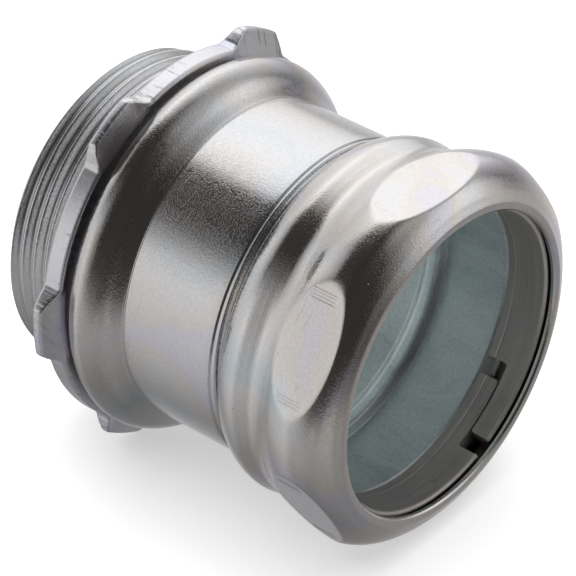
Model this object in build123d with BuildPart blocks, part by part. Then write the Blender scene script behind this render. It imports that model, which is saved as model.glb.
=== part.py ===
# Compression connector for 1-1/2 inch EMT conduit, zinc-plated steel.
# The bore axis is X. X = 0 is the seating face that bears on the box wall,
# -X is the box side (male thread and locknut), +X is the conduit side.
# Z is up; the bore axis lies level, and one of the gland nut's six flats faces up.
from build123d import *
import math
import os

os.makedirs("parts", exist_ok=True)

INCH = 25.4

# connector body; the socket takes conduit of 1.740 inch outside diameter
hub_thread_radius = 23.95
hub_thread_pitch = INCH / 11.5
hub_thread_depth = 1.30
hub_thread_end = -15.4
throat_radius = 20.3
stop_radius = 20.6
stop_position = 26.6
socket_radius = 22.35
seat_radius = 26.6
shoulder_radius = 28.25
shoulder_end = 7.0
barrel_radius = 24.25
barrel_end = 22.9
body_end = 38.6
gland_thread_radius = 24.05
gland_thread_pitch = INCH / 16
gland_thread_depth = 0.90
gland_thread_start = barrel_end + 0.95
socket_end = 37.3
thread_crest_flat = 0.30
thread_root_flat = 0.25

# radial gap between the crests of one thread and the roots of its mate
thread_gap = 0.15

# locknut
locknut_front = -0.75
locknut_width = 3.10
locknut_rim_radius = 28.55
locknut_edge = 0.25
lug_radius = 31.2
lug_count = 6
lug_half_top = 3.4
lug_half_base = 6.3
lug_back_step = 0.55
lug_front_step = 0.90

# split compression ring
ring_rear = 37.8
ring_front = 44.4
ring_bore_radius = 22.20
ring_outer_radius = 24.6
ring_cone_slope = 0.685
ring_slit_position = 41.2
ring_slit_width = 0.3
split_gap = 2.7
rear_gap_angle = -128.0
front_gap_angle = -156.3

# gland nut
nut_rear = 24.9
nut_front = 45.6
nut_mouth_radius = 22.6
nut_thread_end = 37.0
nut_seat_radius = 25.51
nut_flat_apothem = 26.95
nut_flat_count = 6
flat_bottom_position = 33.0
flat_top_position = 44.2


def helical_groove(crest_radius, pitch, start, turns, depth, crest_flat, root_flat):
    """Cut a screw-thread groove turn by turn; a positive depth cuts inwards."""
    overshoot = math.copysign(0.25, depth)
    mouth_half = (pitch - crest_flat) / 2
    root_half = root_flat / 2
    for turn in range(turns):
        with BuildLine() as spiral:
            Helix(
                pitch,
                pitch,
                crest_radius,
                center=(start + turn * pitch, 0, 0),
                direction=(1, 0, 0),
            )
        path = spiral.line
        first_point = path @ 0
        outward = Vector(0, first_point.Y, first_point.Z).normalized()
        across = outward.cross(Vector(1, 0, 0))
        with BuildSketch(Plane(origin=first_point, x_dir=outward, z_dir=across)) as tooth:
            with BuildLine():
                Polyline(
                    (overshoot, -mouth_half - 0.1),
                    (0, -mouth_half),
                    (-depth, -root_half),
                    (-depth, root_half),
                    (0, mouth_half),
                    (overshoot, mouth_half + 0.1),
                    close=True,
                )
            make_face()
        sweep(tooth.sketch, path=path, is_frenet=True, mode=Mode.SUBTRACT)


# ---------------------------------------------------------------- connector body
with BuildPart() as connector_body:
    with BuildSketch(Plane.XZ):
        with BuildLine():
            Polyline(
                (hub_thread_end, throat_radius + 0.5),
                (hub_thread_end, hub_thread_radius - 1.1),
                (hub_thread_end + 1.1, hub_thread_radius),
                (0, hub_thread_radius),
                (0, seat_radius),
            )
            Spline(
                (0, seat_radius),
                (0.55, 27.75),
                (1.9, shoulder_radius),
                (3.3, 27.95),
                (4.9, 26.85),
                (6.1, 25.35),
                (shoulder_end, barrel_radius + 0.1),
                tangents=[(0.1, 1.0), (1.0, -0.9)],
            )
            Polyline(
                (shoulder_end, barrel_radius + 0.1),
                (shoulder_end + 0.25, barrel_radius - 0.05),
                (shoulder_end + 0.5, barrel_radius),
                (barrel_end - 0.25, barrel_radius),
                (barrel_end, gland_thread_radius),
                (body_end - 0.7, gland_thread_radius),
                (body_end, gland_thread_radius - 0.75),
                (body_end, socket_radius + ring_cone_slope * (body_end - socket_end)),
                (socket_end, socket_radius),
                (stop_position + 0.4, socket_radius),
                (stop_position + 0.1, stop_radius + 0.3),
                (stop_position - 0.5, stop_radius),
                (stop_position - 1.5, stop_radius),
                (stop_position - 2.6, stop_radius + 1.2),
                (8.0, stop_radius + 1.2),
                (4.0, throat_radius),
                (hub_thread_end + 0.5, throat_radius),
                (hub_thread_end, throat_radius + 0.5),
            )
        make_face()
    revolve(axis=Axis.X)
    helical_groove(
        hub_thread_radius,
        hub_thread_pitch,
        start=hub_thread_end - 0.5 * hub_thread_pitch,
        turns=7,
        depth=hub_thread_depth,
        crest_flat=0.40,
        root_flat=0.35,
    )
    helical_groove(
        gland_thread_radius,
        gland_thread_pitch,
        start=gland_thread_start,
        turns=10,
        depth=gland_thread_depth,
        crest_flat=thread_crest_flat,
        root_flat=thread_root_flat,
    )

connector_body.part.label = "connector_body"
export_step(connector_body.part, "parts/connector_body.step")
print("connector_body", connector_body.part.volume, connector_body.part.is_valid)


# ---------------------------------------------------------------- locknut
# A stamped steel ring. Its bore clears the thread crests by a small gap.
locknut_rear = locknut_front - locknut_width
locknut_bore_radius = hub_thread_radius + thread_gap
lug_foot_radius = 27.0
lug_corner_radius = 30.9

with BuildSketch(mode=Mode.PRIVATE) as lug_outline:
    with BuildLine():
        Polyline(
            (lug_foot_radius, 0),
            (lug_foot_radius, lug_half_base - 0.3),
            (28.3, lug_half_base),
            (29.5, 4.9),
            (29.9, 4.1),
            (lug_corner_radius, lug_half_top),
        )
        ThreePointArc(
            (lug_corner_radius, lug_half_top),
            (lug_radius - 0.08, lug_half_top / 2),
            (lug_radius, 0),
        )
        Line((lug_radius, 0), (lug_foot_radius, 0))
    make_face()
    mirror(about=Plane.XZ)

with BuildPart() as locknut:
    with BuildSketch(Plane.XZ):
        with BuildLine():
            Polyline(
                (locknut_rear, locknut_bore_radius + 0.5),
                (locknut_rear, locknut_rim_radius - locknut_edge),
                (locknut_rear + locknut_edge, locknut_rim_radius),
                (locknut_front - locknut_edge, locknut_rim_radius),
                (locknut_front, locknut_rim_radius - locknut_edge),
                (locknut_front, locknut_bore_radius + 0.5),
                (locknut_front - 0.5, locknut_bore_radius),
                (locknut_rear + 0.5, locknut_bore_radius),
                close=True,
            )
        make_face()
    revolve(axis=Axis.X)
    # driving lugs lean back from the box wall, each with a short ramp at both ends
    with BuildSketch(Plane.YZ.offset(locknut_rear - lug_back_step)):
        with PolarLocations(0, lug_count):
            add(lug_outline.sketch)
    extrude(amount=lug_back_step + locknut_width - lug_front_step)
    helical_groove(
        locknut_bore_radius,
        hub_thread_pitch,
        start=locknut_rear - 1.2 * hub_thread_pitch,
        turns=4,
        depth=-0.8,
        crest_flat=0.8,
        root_flat=0.3,
    )

locknut.part.label = "locknut"
export_step(locknut.part, "parts/locknut.step")
print("locknut", locknut.part.volume, locknut.part.is_valid)


# ---------------------------------------------------------------- compression ring
ring_cone_radius = ring_bore_radius + 0.35
ring_cone_end = 40.6
cutter_height = 8
slit_start = math.radians(front_gap_angle)

with BuildPart() as compression_ring:
    with BuildSketch(Plane.XZ):
        with BuildLine():
            Polyline(
                (ring_rear, ring_bore_radius + 0.1),
                (ring_rear, ring_cone_radius),
                (ring_cone_end, ring_cone_radius + ring_cone_slope * (ring_cone_end - ring_rear)),
                (41.1, ring_outer_radius),
                (42.1, ring_outer_radius),
                (ring_front - 0.1, 22.95),
                (ring_front, 22.8),
                (ring_front, ring_bore_radius + 0.15),
                (ring_front - 0.15, ring_bore_radius),
                (ring_rear + 0.1, ring_bore_radius),
                close=True,
            )
        make_face()
    revolve(axis=Axis.X)
    # stepped split: one gap in each half, joined by a slit part of the way round
    with Locations(Location((0, 0, 0), (rear_gap_angle, 0, 0))):
        with Locations((ring_rear - 1, 0, ring_bore_radius)):
            Box(
                ring_slit_position - ring_rear + 1 + ring_slit_width / 2,
                split_gap,
                cutter_height,
                align=(Align.MIN, Align.CENTER, Align.CENTER),
                mode=Mode.SUBTRACT,
            )
    with Locations(Location((0, 0, 0), (front_gap_angle, 0, 0))):
        with Locations((ring_front + 1, 0, ring_bore_radius)):
            Box(
                ring_front - ring_slit_position + 1 + ring_slit_width / 2,
                split_gap,
                cutter_height,
                align=(Align.MAX, Align.CENTER, Align.CENTER),
                mode=Mode.SUBTRACT,
            )
    slit_plane = Plane(
        origin=(0, 0, 0),
        x_dir=(1, 0, 0),
        z_dir=(0, -math.cos(slit_start), -math.sin(slit_start)),
    )
    with BuildSketch(slit_plane):
        with Locations((ring_slit_position, ring_bore_radius + 1)):
            Rectangle(ring_slit_width, cutter_height - 2)
    revolve(axis=Axis.X, revolution_arc=rear_gap_angle - front_gap_angle, mode=Mode.SUBTRACT)

compression_ring.part.label = "compression_ring"
export_step(compression_ring.part, "parts/compression_ring.step")
print("compression_ring", compression_ring.part.volume, compression_ring.part.is_valid)


# ---------------------------------------------------------------- gland nut
nut_thread_radius = gland_thread_radius - gland_thread_depth + thread_gap

with BuildPart() as gland_nut:
    with BuildSketch(Plane.XZ):
        with BuildLine():
            Spline(
                (nut_rear, 24.95),
                (25.4, 25.4),
                (26.4, 25.95),
                (27.6, 26.4),
                (28.8, 26.55),
                (30.2, 26.3),
                (31.6, 26.05),
                (33.0, 26.3),
                (34.6, 27.0),
                (36.4, 27.9),
                (38.4, 28.5),
                (40.2, 28.65),
                (42.0, 28.2),
                (43.6, 27.05),
                (44.8, 25.5),
                (nut_front - 0.25, 24.4),
            )
            Polyline(
                (nut_front - 0.25, 24.4),
                (nut_front, 23.8),
                (nut_front, nut_mouth_radius + 0.25),
                (nut_front - 0.2, nut_mouth_radius),
                (44.9, nut_mouth_radius),
                (44.7, 22.81),
                (41.1, nut_seat_radius),
                (38.4, nut_seat_radius),
                (nut_thread_end, 24.3),
                (nut_thread_end, nut_thread_radius + 0.4),
                (nut_thread_end - 0.4, nut_thread_radius),
                (26.9, nut_thread_radius),
                (25.9, 24.5),
                (nut_rear, 24.6),
                (nut_rear, 24.95),
            )
        make_face()
    revolve(axis=Axis.X)
    # six flats cut across the bulge
    with BuildSketch(Plane.YZ.offset(flat_bottom_position)):
        Circle(nut_flat_apothem * 1.3)
        RegularPolygon(nut_flat_apothem, nut_flat_count, major_radius=False, mode=Mode.SUBTRACT)
    extrude(amount=flat_top_position - flat_bottom_position, mode=Mode.SUBTRACT)
    helical_groove(
        nut_thread_radius,
        gland_thread_pitch,
        start=gland_thread_start + 0.5 * gland_thread_pitch,
        turns=9,
        depth=-gland_thread_depth,
        crest_flat=thread_crest_flat,
        root_flat=thread_root_flat,
    )

gland_nut.part.label = "gland_nut"
export_step(gland_nut.part, "parts/gland_nut.step")
print("gland_nut", gland_nut.part.volume, gland_nut.part.is_valid)
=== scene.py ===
# %% [markdown]
# # A conduit compression connector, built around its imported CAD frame
#
# The fitting has four steel pieces: a threaded body, a locknut, a split
# compression ring and a gland nut. Each cell below makes one piece or one finish.
# Everything is in metres in the CAD frame: X is the bore axis, Z is up.

import math

import bmesh
import bpy
import numpy as np
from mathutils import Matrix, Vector


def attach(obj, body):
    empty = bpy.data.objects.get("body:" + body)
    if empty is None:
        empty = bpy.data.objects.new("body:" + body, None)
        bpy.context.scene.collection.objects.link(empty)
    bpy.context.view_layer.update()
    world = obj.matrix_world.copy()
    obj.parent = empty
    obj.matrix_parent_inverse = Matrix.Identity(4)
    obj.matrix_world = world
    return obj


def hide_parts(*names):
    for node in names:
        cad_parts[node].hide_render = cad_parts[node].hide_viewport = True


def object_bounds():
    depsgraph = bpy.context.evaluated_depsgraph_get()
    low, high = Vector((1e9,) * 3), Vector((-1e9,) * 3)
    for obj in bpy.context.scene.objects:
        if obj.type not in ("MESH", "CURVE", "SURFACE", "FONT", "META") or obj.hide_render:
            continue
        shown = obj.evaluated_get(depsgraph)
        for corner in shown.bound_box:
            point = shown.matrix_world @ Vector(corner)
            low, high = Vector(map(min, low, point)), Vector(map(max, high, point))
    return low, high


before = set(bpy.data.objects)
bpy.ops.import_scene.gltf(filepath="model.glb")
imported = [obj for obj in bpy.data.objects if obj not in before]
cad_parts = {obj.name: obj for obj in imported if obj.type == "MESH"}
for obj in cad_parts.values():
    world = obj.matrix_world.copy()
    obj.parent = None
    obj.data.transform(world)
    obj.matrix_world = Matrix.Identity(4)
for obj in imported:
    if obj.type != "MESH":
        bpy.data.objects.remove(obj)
cad_low, cad_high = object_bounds()
MM = 0.001
print("CAD box in mm:", [round(v / MM, 1) for v in (*cad_low, *cad_high)])

# %% [markdown]
# ## Camera
#
# A small part is shot from some distance with a long lens, so that its two ends
# look nearly the same size. The camera is placed by an azimuth, an elevation and a
# distance around a point near the middle of the barrel, which is easier to read
# than a bare matrix.

# %% Camera
look_at = Vector((24.4, -9.7, 8.5)) * MM
camera_azimuth = math.radians(40.2)
camera_elevation = math.radians(36.46)
camera_distance = 444.8 * MM
focal_length = 206.25

toward_camera = Vector(
    (
        math.sin(camera_azimuth) * math.cos(camera_elevation),
        -math.cos(camera_azimuth) * math.cos(camera_elevation),
        math.sin(camera_elevation),
    )
)
camera_data = bpy.data.cameras.new("camera")
camera_data.lens = focal_length
camera_data.sensor_width = 36.0
camera_data.clip_start = 0.01
camera = bpy.data.objects.new("camera", camera_data)
bpy.context.scene.collection.objects.link(camera)
camera.location = look_at + toward_camera * camera_distance
camera.rotation_euler = (-toward_camera).to_track_quat("-Z", "Y").to_euler()
bpy.context.scene.camera = camera
print("camera stands at", [round(v, 3) for v in camera.location])

# %% [markdown]
# ## Turned shapes
#
# Almost everything here is round, so one helper spins a closed outline around the
# X axis. The outline is a loop of (x, r) points. Each point may then be pushed in or out,
# which is how threads, flats and lugs are formed: the mesh
# carries them as real geometry and no boolean is needed.

# %% Helpers for outlines
def arc_corners(points, step=0.15):
    """Polyline of (x, r, corner radius) points with its corners rounded."""
    line = []
    count = len(points)
    for i, (x, r, radius) in enumerate(points):
        here = np.array((x, r), float)
        if radius <= 0 or i in (0, count - 1):
            line.append(here)
            continue
        before = np.array(points[i - 1][:2], float)
        after = np.array(points[i + 1][:2], float)
        to_before = (before - here) / np.linalg.norm(before - here)
        to_after = (after - here) / np.linalg.norm(after - here)
        turn = math.pi - math.acos(np.clip(to_before @ to_after, -1, 1))
        reach = min(
            radius * math.tan(turn / 2),
            0.49 * np.linalg.norm(before - here),
            0.49 * np.linalg.norm(after - here),
        )
        start, end = here + to_before * reach, here + to_after * reach
        pieces = max(3, int(np.ceil(2 * reach / step)))
        for t in np.linspace(0, 1, pieces + 1):
            line.append((1 - t) ** 2 * start + 2 * t * (1 - t) * here + t**2 * end)
    return np.array(line)


def smooth_curve(points, step=0.25):
    """Catmull-Rom curve through (x, r) points, sampled about every step."""
    p = np.array(points, float)
    p = np.vstack([2 * p[0] - p[1], p, 2 * p[-1] - p[-2]])
    line = [p[1]]
    for i in range(1, len(p) - 2):
        pieces = max(2, int(np.ceil(np.linalg.norm(p[i + 1] - p[i]) / step)))
        for t in np.linspace(0, 1, pieces + 1)[1:]:
            line.append(
                0.5
                * (
                    2 * p[i]
                    + (p[i + 1] - p[i - 1]) * t
                    + (2 * p[i - 1] - 5 * p[i] + 4 * p[i + 1] - p[i + 2]) * t**2
                    + (3 * p[i] - p[i - 1] - 3 * p[i + 1] + p[i + 2]) * t**3
                )
            )
    return np.array(line)


def fill_rows(line, step):
    """Add rows so that no gap is longer than step."""
    rows = [line[0]]
    for a, b in zip(line[:-1], line[1:]):
        pieces = max(1, int(np.ceil(np.linalg.norm(b - a) / step)))
        for t in np.linspace(0, 1, pieces + 1)[1:]:
            rows.append(a + (b - a) * t)
    return np.array(rows)


def even_angles(count):
    """Columns evenly spaced round one turn."""
    return np.linspace(0, 2 * math.pi, count, endpoint=False)


def place(x, r, angle):
    """Points at radius r; angle 0 is up and grows towards -Y. Millimetres in, metres out."""
    return np.stack([x, -r * np.sin(angle), r * np.cos(angle)], -1) * MM


def object_from_grid(name, x, r, angles, materials, row_material=None):
    """Mesh of a closed outline (rows) spun over angles (columns), joined both ways."""
    rows, columns = x.shape
    points = place(x, r, angles[None, :]).reshape(-1, 3)
    i, j = np.meshgrid(np.arange(rows), np.arange(columns), indexing="ij")
    i2, j2 = (i + 1) % rows, (j + 1) % columns
    corners = [i * columns + j, i * columns + j2, i2 * columns + j2, i2 * columns + j]
    faces = np.stack(corners, -1).reshape(-1, 4)
    a, b, c, d = (points[faces[:, k]] for k in range(4))
    volume = np.einsum("ij,ij->i", a, np.cross(b, c)).sum()
    volume += np.einsum("ij,ij->i", a, np.cross(c, d)).sum()
    if volume < 0:
        faces = faces[:, ::-1]
    mesh = bpy.data.meshes.new(name)
    mesh.vertices.add(len(points))
    mesh.vertices.foreach_set("co", points.ravel())
    mesh.loops.add(faces.size)
    mesh.loops.foreach_set("vertex_index", faces.ravel())
    mesh.polygons.add(len(faces))
    mesh.polygons.foreach_set("loop_start", np.arange(0, faces.size, 4))
    mesh.polygons.foreach_set("use_smooth", np.ones(len(faces), bool))
    for material in materials:
        mesh.materials.append(material)
    if row_material is not None:
        index = np.repeat(np.asarray(row_material, np.int32), columns)
        mesh.polygons.foreach_set("material_index", index)
    mesh.update(calc_edges=True)
    mesh.validate()
    made = bpy.data.objects.new(name, mesh)
    bpy.context.scene.collection.objects.link(made)
    print(f"{name}: {len(points)} points, {abs(volume) / 6 / MM**3:.0f} cubic mm")
    return made


# %% [markdown]
# ## Screw threads
#
# A thread is a groove that climbs one pitch per turn. For a point at x and angle,
# the distance to the middle of the nearest groove follows from x / pitch minus the
# part of a turn already made. The groove's sides are straight and its corners are
# softened a little, as a rolled or cut thread's are.

# %% Thread helper
def groove_depth(x, angle, start, pitch, depth, crest_flat, root_flat, soften=0.12):
    """How deep the groove is at x and angle, for a right-hand thread."""
    turns = (x - start) / pitch - angle / (2 * math.pi)
    off = np.abs(turns - np.round(turns)) * pitch
    half_root, half_mouth = root_flat / 2, (pitch - crest_flat) / 2
    ramp = np.clip((half_mouth - off) / (half_mouth - half_root), -1, 2)
    low = 0.5 * (ramp + np.sqrt(ramp**2 + soften**2))
    high = 0.5 * (low + 1 - np.sqrt((low - 1) ** 2 + soften**2))
    return depth * np.clip(high, 0, 1)


def ease(value, low, high):
    """0 below low, 1 above high, smooth between."""
    t = np.clip((value - low) / (high - low), 0, 1)
    return t * t * (3 - 2 * t)


# %% [markdown]
# ## Material helpers
#
# Every finish is a small node tree. Short helpers keep those trees readable: one
# adds a node and fills its inputs, one makes a number from a formula node, and a few
# more make noise, tints and relief. They all read the surface point in millimetres,
# so that a noise scale of 2 means two grains per millimetre.

# %% Helpers for node trees
class Tree:
    """A material's nodes, with short ways to add and join them."""

    def __init__(self, name):
        self.material = bpy.data.materials.new(name)
        self.material.use_nodes = True
        self.nodes = self.material.node_tree.nodes
        self.links = self.material.node_tree.links
        self.nodes.clear()
        self.shader = self.add("ShaderNodeBsdfPrincipled")
        out = self.add("ShaderNodeOutputMaterial")
        self.links.new(self.shader.outputs["BSDF"], out.inputs["Surface"])
        point = self.add("ShaderNodeTexCoord").outputs["Object"]
        self.point = self.add(
            "ShaderNodeVectorMath", {0: point, "Scale": 1 / MM}, operation="SCALE"
        ).outputs[0]

    def add(self, kind, inputs=None, **settings):
        """Add a node, fill its inputs and change its settings."""
        made = self.nodes.new(kind)
        for key, value in settings.items():
            setattr(made, key, value)
        for key, value in (inputs or {}).items():
            if isinstance(value, bpy.types.NodeSocket):
                self.links.new(value, made.inputs[key])
            else:
                made.inputs[key].default_value = value
        return made

    def math(self, operation, a, b=0.0, c=0.0):
        """One sum, product or other formula of up to three numbers."""
        made = self.add("ShaderNodeMath", {0: a, 1: b, 2: c}, operation=operation)
        return made.outputs[0]

    def span(self, value, low, high, to_low=0.0, to_high=1.0, smooth=True):
        """value moved from low..high to to_low..to_high, held at both ends."""
        kind = "SMOOTHSTEP" if smooth else "LINEAR"
        settings = {"interpolation_type": kind, "clamp": True}
        names = ("Value", "From Min", "From Max", "To Min", "To Max")
        given = dict(zip(names, (value, low, high, to_low, to_high)))
        return self.add("ShaderNodeMapRange", given, **settings).outputs["Result"]

    def noise(self, scale, detail=2.0, roughness=0.5, point=None, distortion=0.0):
        """Soft noise with about scale grains in each millimetre."""
        given = {"Vector": point or self.point, "Scale": scale, "Detail": detail}
        given |= {"Roughness": roughness, "Distortion": distortion}
        return self.add("ShaderNodeTexNoise", given).outputs["Fac"]

    def moved(self, offset):
        """The point moved along, so that two finishes don't share one pattern."""
        given = {"Vector": self.point, "Location": (offset, offset, offset)}
        return self.add("ShaderNodeMapping", given).outputs["Vector"]

    def mix(self, factor, a, b, blend="MIX"):
        """Colour a blended with colour b."""
        settings = {"data_type": "RGBA", "blend_type": blend, "clamp_factor": True}
        made = self.add("ShaderNodeMix", {0: factor, 6: a, 7: b}, **settings)
        return made.outputs[2]

    def ramp(self, factor, stops):
        """Colours by a factor, from (position, colour) stops."""
        made = self.add("ShaderNodeValToRGB", {"Fac": factor})
        band = made.color_ramp
        while len(band.elements) < len(stops):
            band.elements.new(0.5)
        for element, (position, color) in zip(band.elements, stops):
            element.position = position
        for element, (position, color) in zip(band.elements, stops):
            element.color = (*color, 1.0)
        return made.outputs["Color"]

    def bump(self, height, distance_mm, below=None):
        """Relief distance_mm deep, on top of the relief below."""
        given = {"Height": height, "Distance": distance_mm * MM, "Strength": 1.0}
        if below is not None:
            given["Normal"] = below
        return self.add("ShaderNodeBump", given).outputs["Normal"]

    def around(self):
        """(x, distance round the axis, radius) in mm, for marks that follow the turning."""
        split = self.add("ShaderNodeSeparateXYZ", {0: self.point}).outputs
        minus_y = self.math("MULTIPLY", split[1], -1.0)
        angle = self.math("ARCTAN2", minus_y, split[2])
        squares = self.math("MULTIPLY", split[1], split[1])
        radius = self.math(
            "SQRT", self.math("MULTIPLY_ADD", split[2], split[2], squares)
        )
        arc = self.math("MULTIPLY", angle, radius)
        return split[0], arc, radius

    def join(self, x, y, z):
        """Three numbers as one vector or colour."""
        return self.add("ShaderNodeCombineXYZ", {0: x, 1: y, 2: z}).outputs[0]

    def close(self, color, roughness, normal, metallic=1.0):
        """Join the finished tree to the shader and hand back its material."""
        self.links.new(color, self.shader.inputs["Base Color"])
        self.links.new(roughness, self.shader.inputs["Roughness"])
        self.links.new(normal, self.shader.inputs["Normal"])
        self.shader.inputs["Metallic"].default_value = metallic
        print(f"finish {self.material.name}: {len(self.nodes)} nodes")
        return self.material


# %% [markdown]
# ## Bright zinc
#
# The steel is plated with zinc and dipped in a clear passivate. The plating is
# bright but not a mirror: a slight orange peel breaks the edges of reflections into
# a fine speckle. The passivate film gives patches of straw, pink and blue so faint
# that they show only in the lighter areas. Tiny pits and a few fine scratches come
# from tumbling in the plating barrel. All of this is noise on the object's own
# points, in millimetres, so that it keeps its scale on every piece. The hub thread is
# duller, and painted shade darkens the colour in its roots.

# %% Bright zinc finish
def bright_zinc(name, base, roughness, film, peel, painted_shade_below=None, seed=0.0):
    """Plated steel: film is how strong the tints are, peel the relief in mm."""
    t = Tree(name)
    x, arc, radius = t.around()
    cloud = t.noise(0.055, 2.0, 0.5, t.moved(7.0 + seed), 0.8)
    film_tint = t.ramp(
        cloud,
        [
            (0.28, (0.86, 0.94, 0.97)),
            (0.42, (0.97, 0.97, 0.97)),
            (0.50, (0.98, 0.96, 0.93)),
            (0.57, (0.97, 0.92, 0.86)),
            (0.64, (0.93, 0.90, 0.98)),
            (0.76, (0.92, 0.96, 0.95)),
        ],
    )
    color = t.mix(film, (*base, 1.0), t.mix(1.0, (*base, 1.0), film_tint, "MULTIPLY"))
    mottle = t.noise(1.7, 5.0, 0.65)
    grain = t.noise(9.0, 2.0, 0.6)
    shade = t.span(mottle, 0.32, 0.68, 0.95, 1.0)
    shade = t.math("MULTIPLY", shade, t.span(grain, 0.25, 0.75, 0.97, 1.0))
    cell = t.add(
        "ShaderNodeTexVoronoi", {"Vector": t.point, "Scale": 0.62, "Randomness": 1.0}
    )
    chance = t.add("ShaderNodeSeparateColor", {0: cell.outputs["Color"]}).outputs[0]
    reach = t.span(chance, 0.55, 1.0, 0.0, 0.075, smooth=False)
    pit = t.math("SUBTRACT", reach, cell.outputs["Distance"])
    pit = t.span(pit, 0.0, 0.05)
    shade = t.math("MULTIPLY", shade, t.span(pit, 0.0, 1.0, 1.0, 0.45))
    turned = t.join(t.math("MULTIPLY", x, 0.05), t.math("MULTIPLY", arc, 2.4), radius)
    streak = t.noise(1.0, 3.0, 0.6, turned)
    scratch_at = t.join(
        t.math("MULTIPLY_ADD", arc, 0.35, t.math("MULTIPLY", x, 1.9)),
        t.math("MULTIPLY_ADD", x, -0.04, t.math("MULTIPLY", arc, 0.05)),
        radius,
    )
    scratch = t.span(t.noise(0.9, 2.0, 0.5, scratch_at), 0.695, 0.73)
    # painted shade: below the given radius the colour of the thread roots is darkened
    if painted_shade_below is not None:
        painted_root_shade = t.span(radius, painted_shade_below - 0.5, painted_shade_below, 0.72, 1.0)
        shade = t.math("MULTIPLY", shade, painted_root_shade)
    color = t.mix(1.0, color, t.join(shade, shade, shade), "MULTIPLY")
    rough = t.span(cloud, 0.3, 0.7, roughness[0], roughness[1])
    rough = t.math("MULTIPLY_ADD", streak, 0.05, rough)
    rough = t.math("MULTIPLY_ADD", scratch, 0.15, rough)
    rough = t.math("MULTIPLY_ADD", pit, 0.3, rough)
    swell = t.noise(0.35, 1.0, 0.4)
    orange = t.noise(2.6, 3.0, 0.6)
    sharp_grain = t.span(t.noise(4.2, 2.0, 0.6), 0.50, 0.66, smooth=False)
    normal = t.bump(swell, peel * 2.2)
    normal = t.bump(orange, peel, normal)
    normal = t.bump(sharp_grain, peel * 1.1, normal)
    normal = t.bump(scratch, -0.006, normal)
    normal = t.bump(pit, -0.05, normal)
    return t.close(color, rough, normal)


body_finish = bright_zinc(
    "body_bright_zinc", (0.82, 0.815, 0.81), (0.05, 0.09), 0.9, 0.0072
)
# 23.3 mm: the hub thread's roots below this radius get painted shade
thread_finish = bright_zinc(
    "hub_thread_zinc", (0.90, 0.90, 0.895), (0.20, 0.30), 0.4, 0.010, 23.3, 3.0
)

# %% [markdown]
# ## The inside of the body
#
# Plating reaches the bore only thinly, and the passivate collects there, so the
# inside is a duller green-grey. It shows soft smears, small dark pits and a dusting
# of light specks, and it's several times as rough as the outside.

# %% Bore finish
def bore_zinc(name):
    """Dull zinc with smears, pits, light specks and a painted highlight on the bead and
    throat.
    """
    t = Tree(name)
    x, arc, radius = t.around()
    along = t.join(t.math("MULTIPLY", x, 0.35), arc, 0.0)
    smear = t.noise(0.16, 4.0, 0.62, along, 1.2)
    fine = t.noise(2.6, 4.0, 0.7)
    color = t.ramp(
        smear,
        [
            (0.25, (0.50, 0.58, 0.58)),
            (0.45, (0.64, 0.70, 0.70)),
            (0.60, (0.72, 0.79, 0.79)),
            (0.80, (0.60, 0.66, 0.67)),
        ],
    )
    shade = t.span(fine, 0.3, 0.7, 0.84, 1.06)
    # the stop bead and the throat stand furthest in; their colour is brightened there as a
    # painted highlight
    painted_bead_glint = t.span(radius, 20.7, 21.2, 1.3, 1.0)
    shade = t.math("MULTIPLY", shade, painted_bead_glint)
    cell = t.add("ShaderNodeTexVoronoi", {"Vector": t.point, "Scale": 0.8})
    chance = t.add("ShaderNodeSeparateColor", {0: cell.outputs["Color"]}).outputs
    reach = t.span(chance[0], 0.4, 1.0, 0.0, 0.11, smooth=False)
    pit = t.span(t.math("SUBTRACT", reach, cell.outputs["Distance"]), 0.0, 0.05)
    speck_cell = t.add("ShaderNodeTexVoronoi", {"Vector": t.point, "Scale": 2.3})
    speck_chance = t.add(
        "ShaderNodeSeparateColor", {0: speck_cell.outputs["Color"]}
    ).outputs
    speck = t.span(speck_chance[1], 0.8, 1.0, 0.0, 0.16, smooth=False)
    speck = t.math("SUBTRACT", speck, speck_cell.outputs["Distance"])
    speck = t.span(speck, 0.0, 0.05)
    shade = t.math("MULTIPLY", shade, t.span(pit, 0.0, 1.0, 1.0, 0.35))
    shade = t.math("MULTIPLY_ADD", speck, 0.45, shade)
    color = t.mix(1.0, color, t.join(shade, shade, shade), "MULTIPLY")
    rough = t.span(smear, 0.3, 0.7, 0.30, 0.44)
    rough = t.math("MULTIPLY_ADD", fine, 0.08, rough)
    normal = t.bump(t.noise(1.3, 3.0, 0.6), 0.020)
    normal = t.bump(fine, 0.010, normal)
    normal = t.bump(pit, -0.06, normal)
    return t.close(color, rough, normal, 0.8)


bore_finish = bore_zinc("bore_dull_zinc")

# %% [markdown]
# ## The body
#
# The body is one turned part: a threaded hub that goes through the wall of a box, a
# rounded shoulder that stops against it, a plain barrel, and a fine thread that
# carries the gland nut. Inside, a small bead stops the conduit. Its outline is drawn
# once as a closed loop, and the two threads are pushed into the mesh by the groove
# formula. The thread fades out at each end, as it does where the die lifts off.

# %% Body outline and threads
inch = 25.4
hub_radius, hub_end = 23.95, -15.4
hub_pitch, hub_depth = inch / 11.5, 1.05
barrel_radius = 24.25
gland_radius, gland_start = 24.05, 22.9
gland_pitch, gland_depth = inch / 16, 0.90
gland_run_in = 0.95
body_end = 38.6
throat_radius, middle_radius, socket_radius = 20.3, 21.8, 22.35
bead_x, bead_radius = 26.3, 20.6

hub_corners = [
    (hub_end, 22.7, 0),
    (-14.3, hub_radius, 0.3),
    (-0.35, hub_radius, 0.05),
    (0, hub_radius, 0),
]
hub_run = fill_rows(arc_corners(hub_corners), 0.15)
shoulder_run = smooth_curve(
    [
        (0.0, 26.6),
        (0.45, 27.75),
        (1.9, 28.25),
        (3.3, 27.95),
        (4.9, 26.85),
        (6.1, 25.35),
        (6.95, 24.4),
    ],
    0.3,
)
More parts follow.
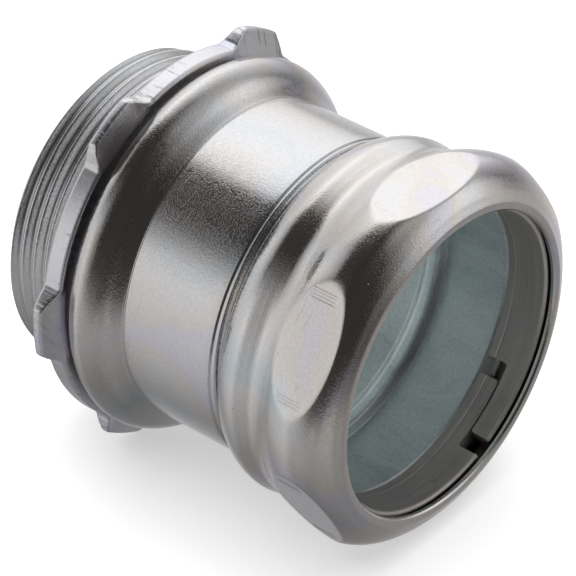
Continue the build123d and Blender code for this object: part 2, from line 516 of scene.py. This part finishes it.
# the fine line where the shoulder was pressed up from the barrel
scribe_run = np.array(
    [(7.05, 24.27), (7.12, 24.13), (7.28, 24.11), (7.38, 24.2), (7.52, barrel_radius)]
)
barrel_corners = [
    (7.6, barrel_radius, 0),
    (22.65, barrel_radius, 0.2),
    (gland_start, 24.0, 0.1),
    (23.1, 24.03, 0),
]
barrel_run = fill_rows(arc_corners(barrel_corners, 0.1), 1.2)
gland_corners = [
    (23.2, gland_radius, 0),
    (37.9, gland_radius, 0.3),
    (body_end, 23.3, 0.15),
]
gland_run = fill_rows(arc_corners(gland_corners, 0.2), 0.155)
bore_run = fill_rows(
    arc_corners(
        [
            (body_end, 23.24, 0),
            (37.3, socket_radius, 0.3),
            (27.05, socket_radius, 0.35),
            (26.75, 20.75, 0.35),
            (bead_x, bead_radius, 0.3),
            (25.1, bead_radius, 0.6),
            (23.7, middle_radius, 0.8),
            (8.0, middle_radius, 2.5),
            (4.0, throat_radius, 2.5),
            (-14.9, throat_radius, 0.25),
            (hub_end, 20.8, 0),
        ],
        0.12,
    ),
    1.5,
)
outside = np.vstack([hub_run, shoulder_run, scribe_run, barrel_run, gland_run])
body_line = np.vstack([outside, bore_run])
body_angles = even_angles(288)
body_x = np.repeat(body_line[:, :1], len(body_angles), 1)
body_r = np.repeat(body_line[:, 1:], len(body_angles), 1)

hub_groove = groove_depth(
    body_x, body_angles, hub_end - 0.30 * hub_pitch, hub_pitch, hub_depth, 0.30, 0.45, 0.30
)
hub_groove *= ease(-body_x, 0.35, 1.3)
gland_groove = groove_depth(
    body_x,
    body_angles,
    gland_start + gland_run_in,
    gland_pitch,
    gland_depth,
    0.30,
    0.25,
)
gland_groove *= ease(body_x, gland_start + 0.15, gland_start + 0.9)
rows = np.arange(len(body_line))[:, None]
is_hub = rows < len(hub_run)
is_gland = (rows >= len(outside) - len(gland_run)) & (rows < len(outside))
body_r = np.where(is_hub, np.minimum(body_r, hub_radius - hub_groove), body_r)
body_r = np.where(is_gland, np.minimum(body_r, gland_radius - gland_groove), body_r)
row_finish = np.where(is_hub[:, 0], 1, 0)
row_finish[len(outside) - 1 :] = 2
body = object_from_grid(
    "fitting_body",
    body_x,
    body_r,
    body_angles,
    [body_finish, thread_finish, bore_finish],
    row_finish,
)
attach(body, "connector")
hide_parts("connector_body")

# %% [markdown]
# ## The locknut
#
# A locknut is stamped from strip steel: a flat ring with six short lugs bent a
# little back, so that a screwdriver can catch them. Its rim is a sheared edge, with
# fine lines where the die passed through. Here the rim's radius is a function of the
# angle: level between lugs, a short ramp, then the flat top of the lug. The lug is
# also set back from the front face, which leaves a step that shades itself.

# %% Locknut finish
def stamped_zinc(name, base):
    """Duller zinc, with torn lines across the sheared rim."""
    t = Tree(name)
    x, arc, radius = t.around()
    cloud = t.noise(0.12, 3.0, 0.6, t.moved(21.0), 0.5)
    color = t.ramp(
        cloud,
        [
            (0.32, tuple(v * w for v, w in zip(base, (0.93, 0.94, 1.02)))),
            (0.50, base),
            (0.66, tuple(v * w for v, w in zip(base, (1.03, 1.0, 0.95)))),
        ],
    )
    across = t.join(t.math("MULTIPLY", x, 0.25), t.math("MULTIPLY", arc, 2.6), 0.0)
    shear = t.noise(1.0, 4.0, 0.7, across, 0.15)
    on_rim = t.span(radius, 27.6, 28.2)
    torn = t.math("MULTIPLY", t.span(shear, 0.56, 0.66), on_rim)
    patch = t.span(t.noise(0.22, 1.0, 0.5), 0.46, 0.60)
    torn = t.math("MULTIPLY", torn, patch)
    fine = t.noise(5.0, 3.0, 0.7)
    shade = t.span(fine, 0.28, 0.72, 0.88, 1.03)
    shade = t.math("MULTIPLY", shade, t.span(torn, 0.0, 1.0, 1.0, 0.62))
    color = t.mix(1.0, color, t.join(shade, shade, shade), "MULTIPLY")
    rough = t.span(cloud, 0.3, 0.7, 0.18, 0.27)
    rough = t.math("MULTIPLY_ADD", fine, 0.08, rough)
    normal = t.bump(t.noise(1.1, 2.0, 0.5), 0.014)
    normal = t.bump(shear, 0.018, normal)
    normal = t.bump(fine, 0.008, normal)
    normal = t.bump(torn, -0.030, normal)
    return t.close(color, rough, normal)


locknut_finish = stamped_zinc("locknut_stamped_zinc", (0.87, 0.87, 0.90))

# %% Locknut shape
locknut_rear, locknut_front = -3.85, -0.75
rim_radius, lug_top, locknut_bore = 28.55, 31.2, 24.12
lug_angles = [math.radians(30 + 60 * k) for k in range(6)]
lug_half_top, lug_half_base = 3.4, 6.3
lug_back_rear, lug_back_front = 0.55, 0.90


def gap_to_nearest(angles, centres):
    """Signed angle from each of angles to the nearest of centres."""
    apart = np.asarray(angles)[:, None] - np.asarray(centres)[None, :]
    apart = (apart + math.pi) % (2 * math.pi) - math.pi
    nearest = np.abs(apart).argmin(1)
    return apart[np.arange(len(apart)), nearest], nearest


def with_close_columns(base, centres, offsets):
    """Even columns, with closely set ones round each centre."""
    extra = (np.asarray(centres)[:, None] + np.asarray(offsets)[None, :]).ravel()
    both = np.unique(np.round(np.concatenate([base, extra]) % (2 * math.pi), 6))
    return both[np.append(True, np.diff(both) > 0.0012)]


ramp_places = np.arange(lug_half_top - 0.9, lug_half_base + 0.9, 0.16) / rim_radius
locknut_angles = with_close_columns(
    even_angles(300), lug_angles, np.concatenate([-ramp_places, ramp_places])
)
offset, nearest_lug = gap_to_nearest(locknut_angles, lug_angles)
offset = np.abs(offset) * rim_radius
rise = np.clip((lug_half_base - offset) / (lug_half_base - lug_half_top), 0, 1)
rise = 0.5 * rise + 0.5 * ease(rise, 0.0, 1.0)
# two short tears cross each ramp, where the die's corner dragged the steel
torn_low = np.exp(-(((offset - 5.55) / 0.16) ** 2))
torn_high = np.exp(-(((offset - 4.05) / 0.16) ** 2))
lug_wobble = np.array([0.0, 0.12, -0.10, 0.08, -0.06, 0.10])[nearest_lug]

locknut_line = fill_rows(
    arc_corners(
        [
            (locknut_rear + 1.0, 24.85, 0),
            (locknut_rear + 0.75, locknut_bore, 0.1),
            (locknut_rear + 0.15, 24.7, 0.1),
            (locknut_rear, 25.2, 0.2),
            (locknut_rear, 28.1, 0),
            (locknut_rear + 0.1, rim_radius - 0.10, 0.3),
            (locknut_rear + 0.55, rim_radius, 0.5),
            (locknut_front - 0.45, rim_radius, 0.3),
            (locknut_front - 0.08, rim_radius - 0.12, 0.2),
            (locknut_front, 28.1, 0),
            (locknut_front, 25.2, 0.2),
            (locknut_front - 0.15, 24.7, 0.1),
            (locknut_front - 0.75, locknut_bore, 0.1),
            (locknut_front - 1.0, 24.85, 0),
        ],
        0.2,
    ),
    0.30,
)
locknut_x = np.repeat(locknut_line[:, :1], len(locknut_angles), 1)
locknut_r = np.repeat(locknut_line[:, 1:], len(locknut_angles), 1)
outward = ease(locknut_r, 26.9, 28.45)
middle = 0.5 * (locknut_rear + locknut_front)
front_share = np.clip((locknut_x - middle) / (locknut_front - middle), -1, 1)
set_back = np.where(front_share > 0, -lug_back_front, lug_back_rear)
locknut_x = locknut_x + outward * rise * set_back * np.abs(front_share)
crown = 1 - 0.10 * np.abs(front_share) ** 3
lug_rise = (lug_top - rim_radius - 0.12 + lug_wobble) * rise * outward * crown
tears = 0.13 * (torn_low + 0.8 * torn_high) * outward * (1 - 0.5 * front_share**2)
locknut_r = np.minimum(locknut_r - tears, rim_radius - 0.01) + lug_rise
# nothing on the locknut stands above the rim's top or hangs below its bottom
upright = np.maximum(np.abs(np.cos(locknut_angles)), 0.1)
locknut_r = np.minimum(locknut_r, rim_radius / upright)
locknut = object_from_grid(
    "locknut_ring", locknut_x, locknut_r, locknut_angles, [locknut_finish]
)
locknut.data.set_sharp_from_angle(angle=math.radians(32))
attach(locknut, "locknut")
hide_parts("locknut")

# %% [markdown]
# ## The compression ring
#
# The ring is spring steel, turned with a cone at both ends and then split. The split
# is a Z: one gap through its rear half, one through its front half, and a fine slit
# joining them, so that the ends slide past each other like two tongues as the ring
# closes on the conduit. The easiest way is to spin the whole ring and take the split
# out with one curved cutter whose corners are already rounded.

# %% Ring finish
def ring_steel(name):
    """Dark turned steel, worn light along two lines."""
    t = Tree(name)
    x, arc, radius = t.around()
    lines = t.join(t.math("MULTIPLY", x, 4.5), t.math("MULTIPLY", arc, 0.05), radius)
    turned = t.noise(1.0, 4.0, 0.65, lines)
    cloud = t.noise(0.10, 3.0, 0.6, t.moved(40.0))
    color = t.ramp(
        cloud,
        [
            (0.3, (0.35, 0.325, 0.31)),
            (0.5, (0.41, 0.38, 0.36)),
            (0.7, (0.385, 0.365, 0.355)),
        ],
    )
    fine = t.noise(6.0, 2.0, 0.6)
    shade = t.span(turned, 0.3, 0.7, 0.86, 1.12)
    shade = t.math("MULTIPLY", shade, t.span(fine, 0.3, 0.7, 0.93, 1.04))
    worn = t.span(x, 43.75, 44.15, 0.0, 0.55)
    rear_line = t.math("ABSOLUTE", t.math("SUBTRACT", x, 39.15))
    worn = t.math("ADD", worn, t.span(rear_line, 0.06, 0.16, 0.25, 0.0))
    shade = t.math("MULTIPLY_ADD", worn, 0.9, shade)
    color = t.mix(1.0, color, t.join(shade, shade, shade), "MULTIPLY")
    rough = t.span(cloud, 0.3, 0.7, 0.36, 0.46)
    rough = t.math("MULTIPLY_ADD", turned, 0.08, rough)
    normal = t.bump(turned, 0.010)
    normal = t.bump(fine, 0.006, normal)
    return t.close(color, rough, normal, 0.75)


ring_finish = ring_steel("ring_spring_steel")

# %% Ring shape
ring_line = fill_rows(
    arc_corners(
        [
            (39.0, 22.2, 0),
            (39.15, 22.12, 0.05),
            (39.3, 22.2, 0.05),
            (44.15, 22.2, 0.12),
            (44.4, 22.45, 0.1),
            (44.4, 22.72, 0.08),
            (44.2, 23.0, 0.1),
            (42.1, 24.6, 0.2),
            (41.0, 24.6, 0.2),
            (40.6, 24.45, 0.3),
            (37.82, 22.55, 0.08),
            (37.82, 22.32, 0.06),
            (37.98, 22.2, 0.06),
            (38.9, 22.2, 0),
        ],
        0.1,
    ),
    0.45,
)
ring_angles = even_angles(240) + 0.003
ring_x = np.repeat(ring_line[:, :1], len(ring_angles), 1)
ring_r = np.repeat(ring_line[:, 1:], len(ring_angles), 1)
ring = object_from_grid("split_ring", ring_x, ring_r, ring_angles, [ring_finish])

slit_x, slit_width, gap_half = 41.2, 0.30, math.radians(3.5)
rear_gap, front_gap = math.radians(-128), math.radians(-156.3)
inner_face = 22.2


def round_corners(points, radius):
    """Closed outline with each marked corner turned into a small arc."""
    line = []
    for i, (a, b, rounded) in enumerate(points):
        here = np.array((a, b))
        before = np.array(points[i - 1][:2])
        after = np.array(points[(i + 1) % len(points)][:2])
        if not rounded:
            line.append(here)
            continue
        start = here + (before - here) / np.linalg.norm(before - here) * radius
        end = here + (after - here) / np.linalg.norm(after - here) * radius
        for t in np.linspace(0, 1, 7):
            line.append((1 - t) ** 2 * start + 2 * t * (1 - t) * here + t**2 * end)
    return np.array(line)


slit_low, slit_high = slit_x - slit_width / 2, slit_x + slit_width / 2
rear_a, rear_b = (inner_face * (rear_gap + k * gap_half) for k in (-1, 1))
front_a, front_b = (inner_face * (front_gap + k * gap_half) for k in (-1, 1))
split_line = round_corners(
    [
        (36.0, rear_a, 0),
        (36.0, rear_b, 0),
        (slit_high, rear_b, 1),
        (slit_high, front_b, 1),
        (46.0, front_b, 0),
        (46.0, front_a, 0),
        (slit_low, front_a, 1),
        (slit_low, rear_a, 1),
    ],
    0.62,
)
split_line = fill_rows(np.vstack([split_line, split_line[:1]]), 0.8)[:-1]
cutter_mesh = bmesh.new()
loops = []
for radius in (19.0, 28.0):
    places = place(split_line[:, 0], radius, split_line[:, 1] / inner_face)
    loops.append([cutter_mesh.verts.new(p) for p in places])
count = len(split_line)
for k in range(count):
    k2 = (k + 1) % count
    cutter_mesh.faces.new([loops[0][k], loops[0][k2], loops[1][k2], loops[1][k]])
for loop in loops:
    cap = cutter_mesh.faces.new(loop)
    bmesh.ops.triangulate(cutter_mesh, faces=[cap])
bmesh.ops.recalc_face_normals(cutter_mesh, faces=cutter_mesh.faces)
cutter = bpy.data.objects.new("split_cutter", bpy.data.meshes.new("split_cutter"))
cutter_mesh.to_mesh(cutter.data)
cutter_mesh.free()
bpy.context.scene.collection.objects.link(cutter)
cut = ring.modifiers.new("split", "BOOLEAN")
cut.operation, cut.solver, cut.object = "DIFFERENCE", "EXACT", cutter
edge = ring.modifiers.new("edge", "BEVEL")
edge.width, edge.segments, edge.limit_method = 0.06 * MM, 2, "ANGLE"
edge.angle_limit = math.radians(50)
finished = bpy.data.meshes.new_from_object(
    ring.evaluated_get(bpy.context.evaluated_depsgraph_get())
)
ring.modifiers.clear()
ring.data = finished
bpy.data.objects.remove(cutter)
for face in ring.data.polygons:
    face.use_smooth = True
ring.data.set_sharp_from_angle(angle=math.radians(40))
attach(ring, "ring")
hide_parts("compression_ring")
print("split ring:", len(ring.data.polygons), "faces")

# %% [markdown]
# ## The gland nut
#
# The nut is pressed from tube: a bead at the back, a waist, and a bulge that draws
# in to the mouth. Six flats are swaged into the bulge for the wrench. Where a flat
# plane meets the round bulge the border is a pointed oval, and that comes free from
# taking the smaller of two radii, the turned outline's and the flat's, with a little
# softening where they meet. The swaging die also leaves a few fine lines along the
# nut at both ends of every flat.

# %% Gland nut finish
nut_finish = bright_zinc(
    "nut_bright_zinc", (0.86, 0.85, 0.835), (0.05, 0.10), 1.0, 0.0060, None, 12.0
)

# %% Gland nut shape
flat_apothem = 26.95
flat_centres = [math.radians(60 * k) for k in range(6)]
die_line_angle = math.radians(15.3)
nut_rear, nut_front = 24.9, 45.6
nut_bore, nut_thread_end = 23.30, 37.0

nut_back_run = smooth_curve(
    [
        (24.95, 24.88),
        (25.4, 25.4),
        (26.4, 25.95),
        (27.6, 26.4),
        (28.8, 26.55),
        (30.2, 26.3),
        (31.6, 26.05),
        (33.0, 26.3),
        (34.6, 27.0),
        (36.4, 27.9),
        (38.4, 28.5),
        (40.2, 28.65),
        (42.0, 28.2),
        (43.6, 27.05),
        (44.8, 25.5),
        (45.3, 24.5),
    ],
    0.26,
)
nut_lip_run = arc_corners(
    [
        (45.42, 24.25, 0),
        (nut_front, 23.85, 0.2),
        (nut_front, 22.88, 0.12),
        (45.38, 22.62, 0.12),
        (44.95, 22.62, 0.1),
        (44.75, 22.85, 0.1),
        (41.1, 25.5, 0.3),
        (38.4, 25.5, 0.3),
        (nut_thread_end, 24.3, 0.2),
        (nut_thread_end, 23.7, 0.1),
        (36.6, nut_bore, 0),
    ],
    0.12,
)
nut_bore_run = fill_rows(np.array([(36.4, nut_bore), (27.0, nut_bore)]), 0.17)
nut_mouth_run = arc_corners(
    [(26.9, nut_bore, 0), (25.9, 24.5, 0.3), (24.95, 24.55, 0.08), (nut_rear, 24.65, 0)],
    0.15,
)
nut_line = np.vstack([nut_back_run, nut_lip_run, nut_bore_run, nut_mouth_run])
die_centres = [c + k * die_line_angle for c in flat_centres for k in (-1, 1)]
die_line_radius = 27.8
die_offsets = np.arange(-1.05, 1.06, 0.13) / die_line_radius
nut_angles = with_close_columns(even_angles(360), die_centres, die_offsets)
nut_x = np.repeat(nut_line[:, :1], len(nut_angles), 1)
nut_r = np.repeat(nut_line[:, 1:], len(nut_angles), 1)

from_flat, which_flat = gap_to_nearest(nut_angles, flat_centres)
flat_tilt = np.array([0.0, 0.05, -0.04, -0.02, -0.05, 0.04])[which_flat]
flat_r = (flat_apothem + flat_tilt) / np.cos(from_flat)[None, :]
sharpness = 20.0
softened = -np.logaddexp(-sharpness * nut_r, -sharpness * flat_r) / sharpness
on_bulge = (np.arange(len(nut_line)) < len(nut_back_run))[:, None]
blend_in = ease(nut_x, 33.4, 34.2) * (1 - ease(nut_x, 43.7, 44.3))
nut_r = np.where(on_bulge, nut_r + (softened - nut_r) * blend_in, nut_r)

from_die, which_die = gap_to_nearest(nut_angles, die_centres)
across_die = from_die * die_line_radius
line_count = np.array([4, 3])[np.asarray(which_die) % 2]
line_phase = across_die / 0.42 + np.where(line_count == 4, 0.5, 0.0)
in_band = np.abs(across_die) < 0.42 * line_count / 2
die_line = np.exp(-(((line_phase - np.round(line_phase)) / 0.22) ** 2)) * in_band
die_span = ease(nut_x, 36.9, 37.4) * (1 - ease(nut_x, 40.9, 41.4))
nut_r = nut_r - np.where(on_bulge, 0.055 * die_line[None, :] * die_span, 0)

nut_groove = groove_depth(
    nut_x,
    nut_angles,
    gland_start + gland_run_in + 0.5 * gland_pitch,
    gland_pitch,
    gland_depth,
    0.25,
    0.30,
)
nut_groove *= ease(nut_x, 26.9, 27.6) * (1 - ease(nut_x, 36.0, 36.5))
is_thread = np.abs(nut_line[:, 1:] - nut_bore) < 0.001
nut_r = nut_r + np.where(is_thread, nut_groove, 0)
nut = object_from_grid("gland_nut_shell", nut_x, nut_r, nut_angles, [nut_finish])
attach(nut, "gland_nut")
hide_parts("gland_nut")

# %% [markdown]
# ## Floor
#
# A plain pale sweep. It lies under the rim of the locknut, the lowest point. It is
# left out of the metal's reflections, because bright metal shows whatever is around
# it and the soft light below already takes the floor's place.

# %% Floor
floor_height = cad_low[2]
floor_mesh = bpy.data.meshes.new("studio_floor")
half = 4.0
floor_mesh.from_pydata(
    [(-half, -half, 0), (half, -half, 0), (half, half, 0), (-half, half, 0)],
    [],
    [(0, 1, 2, 3)],
)
floor = bpy.data.objects.new("studio_floor", floor_mesh)
floor.location.z = floor_height
bpy.context.scene.collection.objects.link(floor)
t = Tree("floor_pale_paper")
paper = t.noise(0.02, 2.0, 0.5)
t.close(
    t.ramp(paper, [(0.4, (0.90, 0.90, 0.90)), (0.6, (0.93, 0.93, 0.925))]),
    t.span(paper, 0.3, 0.7, 0.75, 0.85),
    t.bump(t.noise(1.5, 2.0, 0.5), 0.002),
    0.0,
)
t.shader.inputs["Specular IOR Level"].default_value = 0.1
t.shader.inputs["Emission Color"].default_value = (1.0, 1.0, 1.0, 1.0)
t.shader.inputs["Emission Strength"].default_value = 0.45
floor_mesh.materials.append(t.material)
floor.visible_glossy = False

# %% [markdown]
# ## Studio light
#
# Polished metal is lit by what it reflects, so the studio is described as soft
# panels around the bore axis: white above and behind, a dark gap in front of the top
# panel, then a grey card lower down in front. The gap draws the dark band along the
# barrel, and it widens towards the mouth. Each ring lists angles around the axis, with
# 0 straight up and +90 towards the viewer's side, and how bright the studio is there.
# The first ring faces the hub end, the middle ones the barrel, and the last one the
# mouth. Neighbouring panels and rings fade into one another.

# %% Studio light
# each ring of panels: how far its light leans to +X, then (degrees, brightness) pairs
studio_rings = [
    (
        -0.95,
        [
            (-180, 0.3), (-130, 0.6), (-100, 0.9), (-50, 0.6), (-10, 0.55), (8, 0.7),
            (20, 0.75), (45, 0.6), (110, 0.6), (150, 0.5), (180, 0.3),
        ],
    ),
    (
        -0.54,
        [
            (-180, 0.25), (-150, 0.45), (-117, 0.75), (-92, 0.45), (-84, 0.9), (-68, 1.1),
            (-40, 1.2), (-20, 1.2), (-4, 1.0), (6, 0.05), (34, 0.03), (46, 0.12),
            (58, 0.4), (67, 0.65), (80, 0.75), (104, 0.65), (128, 0.55), (150, 0.4),
            (166, 0.3), (180, 0.25),
        ],
    ),
    (
        -0.25,
        [
            (-180, 0.2), (-160, 0.2), (-117, 0.7), (-93, 0.4), (-80, 0.8), (-60, 1.0),
            (-24, 1.0), (-8, 0.7), (4, 0.05), (32, 0.03), (45, 0.15), (60, 0.45),
            (100, 0.5), (130, 0.35), (160, 0.2), (180, 0.2),
        ],
    ),
    (
        0.27,
        [
            (-180, 0.15), (-150, 0.25), (-120, 0.45), (-106, 0.4), (-94, 0.15),
            (-84, 0.15), (-60, 0.4), (-35, 0.35), (-15, 0.1), (0, 0.03), (70, 0.03),
            (90, 0.06), (112, 0.33), (130, 0.35), (150, 0.22), (180, 0.15),
        ],
    ),
    (
        0.6,
        [
            (-180, 0.25), (-150, 0.2), (-112, 0.25), (-98, 0.6), (-78, 0.9), (-66, 1.0),
            (-52, 0.7), (-38, 0.45), (-20, 0.4), (-6, 0.3), (4, 0.05), (30, 0.03),
            (84, 0.04), (112, 0.08), (123, 0.35), (150, 0.3), (180, 0.25),
        ],
    ),
    (
        0.85,
        [
            (-180, 0.3), (-150, 0.2), (-112, 0.2), (-98, 0.6), (-78, 0.8), (-66, 0.75),
            (-53, 0.65), (-38, 0.4), (-20, 0.2), (-8, 0.1), (4, 0.03), (118, 0.04),
            (128, 0.1), (140, 0.4), (155, 0.4), (180, 0.3),
        ],
    ),
    (0.985, [(-180, 0.05), (-60, 0.12), (0, 0.03), (90, 0.03), (180, 0.05)]),
]


def studio_tone(light):
    """Brightness as a colour: the dark gaps are a little warm, the cards a little cool."""
    warm = max(0.0, 1 - light / 0.15)
    cool = min(1.0, light / 0.5) * (1 - warm)
    return light * (1 + 0.10 * warm), light, light * (1 - 0.07 * warm + 0.025 * cool), 1.0


world = bpy.data.worlds.new("studio")
world.use_nodes = True
bpy.context.scene.world = world
world_nodes, world_links = world.node_tree.nodes, world.node_tree.links
world_nodes.clear()


def world_node(kind, inputs=None, **settings):
    """Add a node to the world and fill its inputs."""
    made = world_nodes.new(kind)
    for key, value in settings.items():
        setattr(made, key, value)
    for key, value in (inputs or {}).items():
        if isinstance(value, bpy.types.NodeSocket):
            world_links.new(value, made.inputs[key])
        else:
            made.inputs[key].default_value = value
    return made


way = world_node("ShaderNodeTexCoord").outputs["Generated"]
way = world_node("ShaderNodeSeparateXYZ", {0: way}).outputs
toward_viewer = world_node("ShaderNodeMath", {0: way[1], 1: -1.0}, operation="MULTIPLY")
angle = world_node(
    "ShaderNodeMath", {0: toward_viewer.outputs[0], 1: way[2]}, operation="ARCTAN2"
)
angle = world_node(
    "ShaderNodeMapRange",
    {"Value": angle.outputs[0], "From Min": -math.pi, "From Max": math.pi},
)
whole = None
for lean, panels in studio_rings:
    made = world_node("ShaderNodeValToRGB", {"Fac": angle.outputs[0]})
    band = made.color_ramp
    while len(band.elements) < len(panels):
        band.elements.new(0.5)
    for element, (degrees, light) in zip(band.elements, panels):
        element.position = (degrees + 180) / 360
    for element, (degrees, light) in zip(band.elements, panels):
        element.color = studio_tone(light)
    ring_light = made.outputs["Color"]
    if whole is None:
        whole, last_lean = ring_light, lean
        continue
    share = world_node(
        "ShaderNodeMapRange", {"Value": way[0], "From Min": last_lean, "From Max": lean}
    )
    mixed = world_node(
        "ShaderNodeMix",
        {0: share.outputs[0], 6: whole, 7: ring_light},
        data_type="RGBA",
    )
    whole, last_lean = mixed.outputs[2], lean
background = world_node("ShaderNodeBackground", {"Color": whole, "Strength": 1.0})
world_node("ShaderNodeOutputWorld", {"Surface": background.outputs[0]})

lamp_data = bpy.data.lights.new("floor_light", "AREA")
lamp_data.shape = "DISK"
lamp_data.size = 1.8
lamp_data.energy = 14.0
lamp = bpy.data.objects.new("floor_light", lamp_data)
lamp.location = (-0.1, -0.15, 1.1)
lamp.visible_glossy = False
bpy.context.scene.collection.objects.link(lamp)
bpy.context.scene.view_settings.view_transform = "Standard"
print("studio panels:", len(world_nodes), "nodes")
